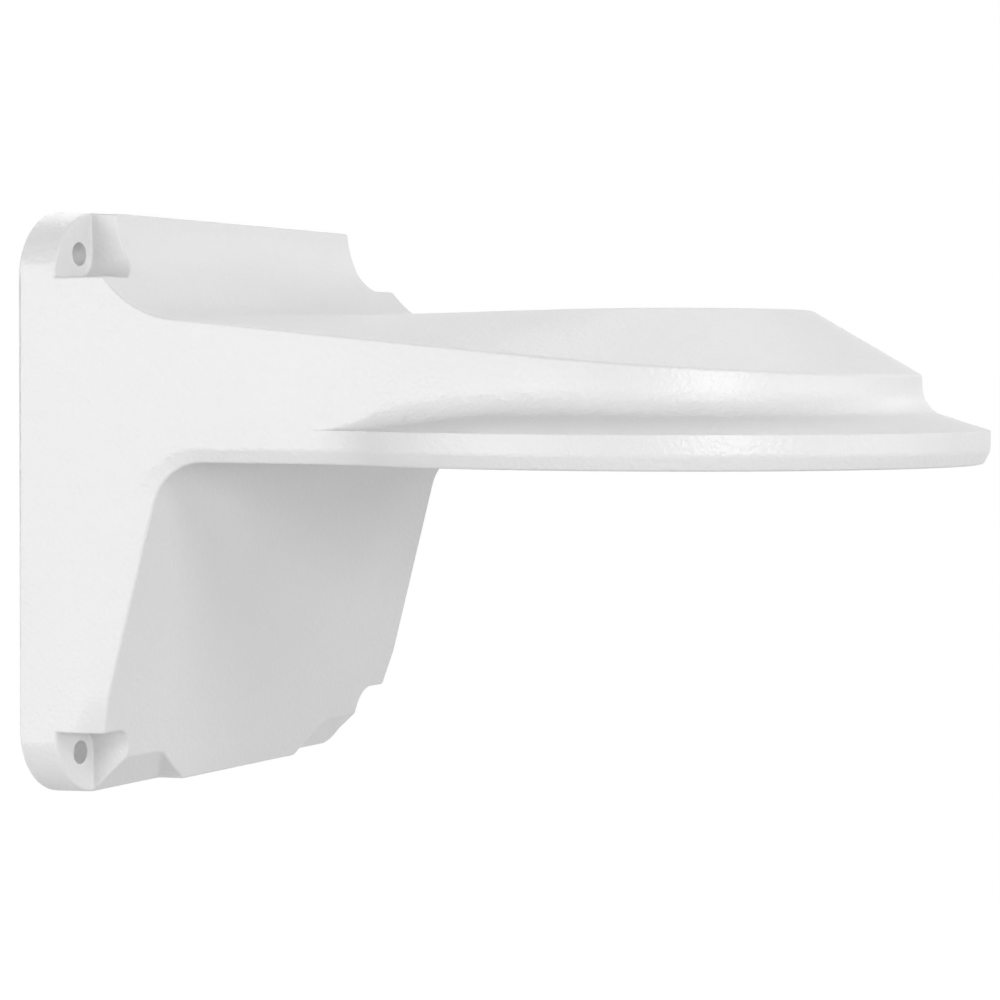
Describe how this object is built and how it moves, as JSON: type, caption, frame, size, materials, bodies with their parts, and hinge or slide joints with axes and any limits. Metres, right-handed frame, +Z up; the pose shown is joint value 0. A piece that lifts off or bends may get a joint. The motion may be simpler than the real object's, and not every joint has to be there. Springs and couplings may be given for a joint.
{
  "type": "camera wall bracket",
  "caption": "White cast wall bracket for a dome camera: square screw plate, slanted post, tapering arm and a round seat that the camera hangs from.",
  "frame": {"origin": "middle of the four wall screws, on the plate's wall face", "axes": "+Y into the wall, square to the plate; the arm reaches towards -Y; +X across the wall; +Z up"},
  "size_m": [0.1352, 0.1821, 0.12],
  "materials": {
    "bracket": "white powder coat with a fine grain"
  },
  "bodies": {
    "root": {"bracket": "bracket"}
  },
  "joints": []
}
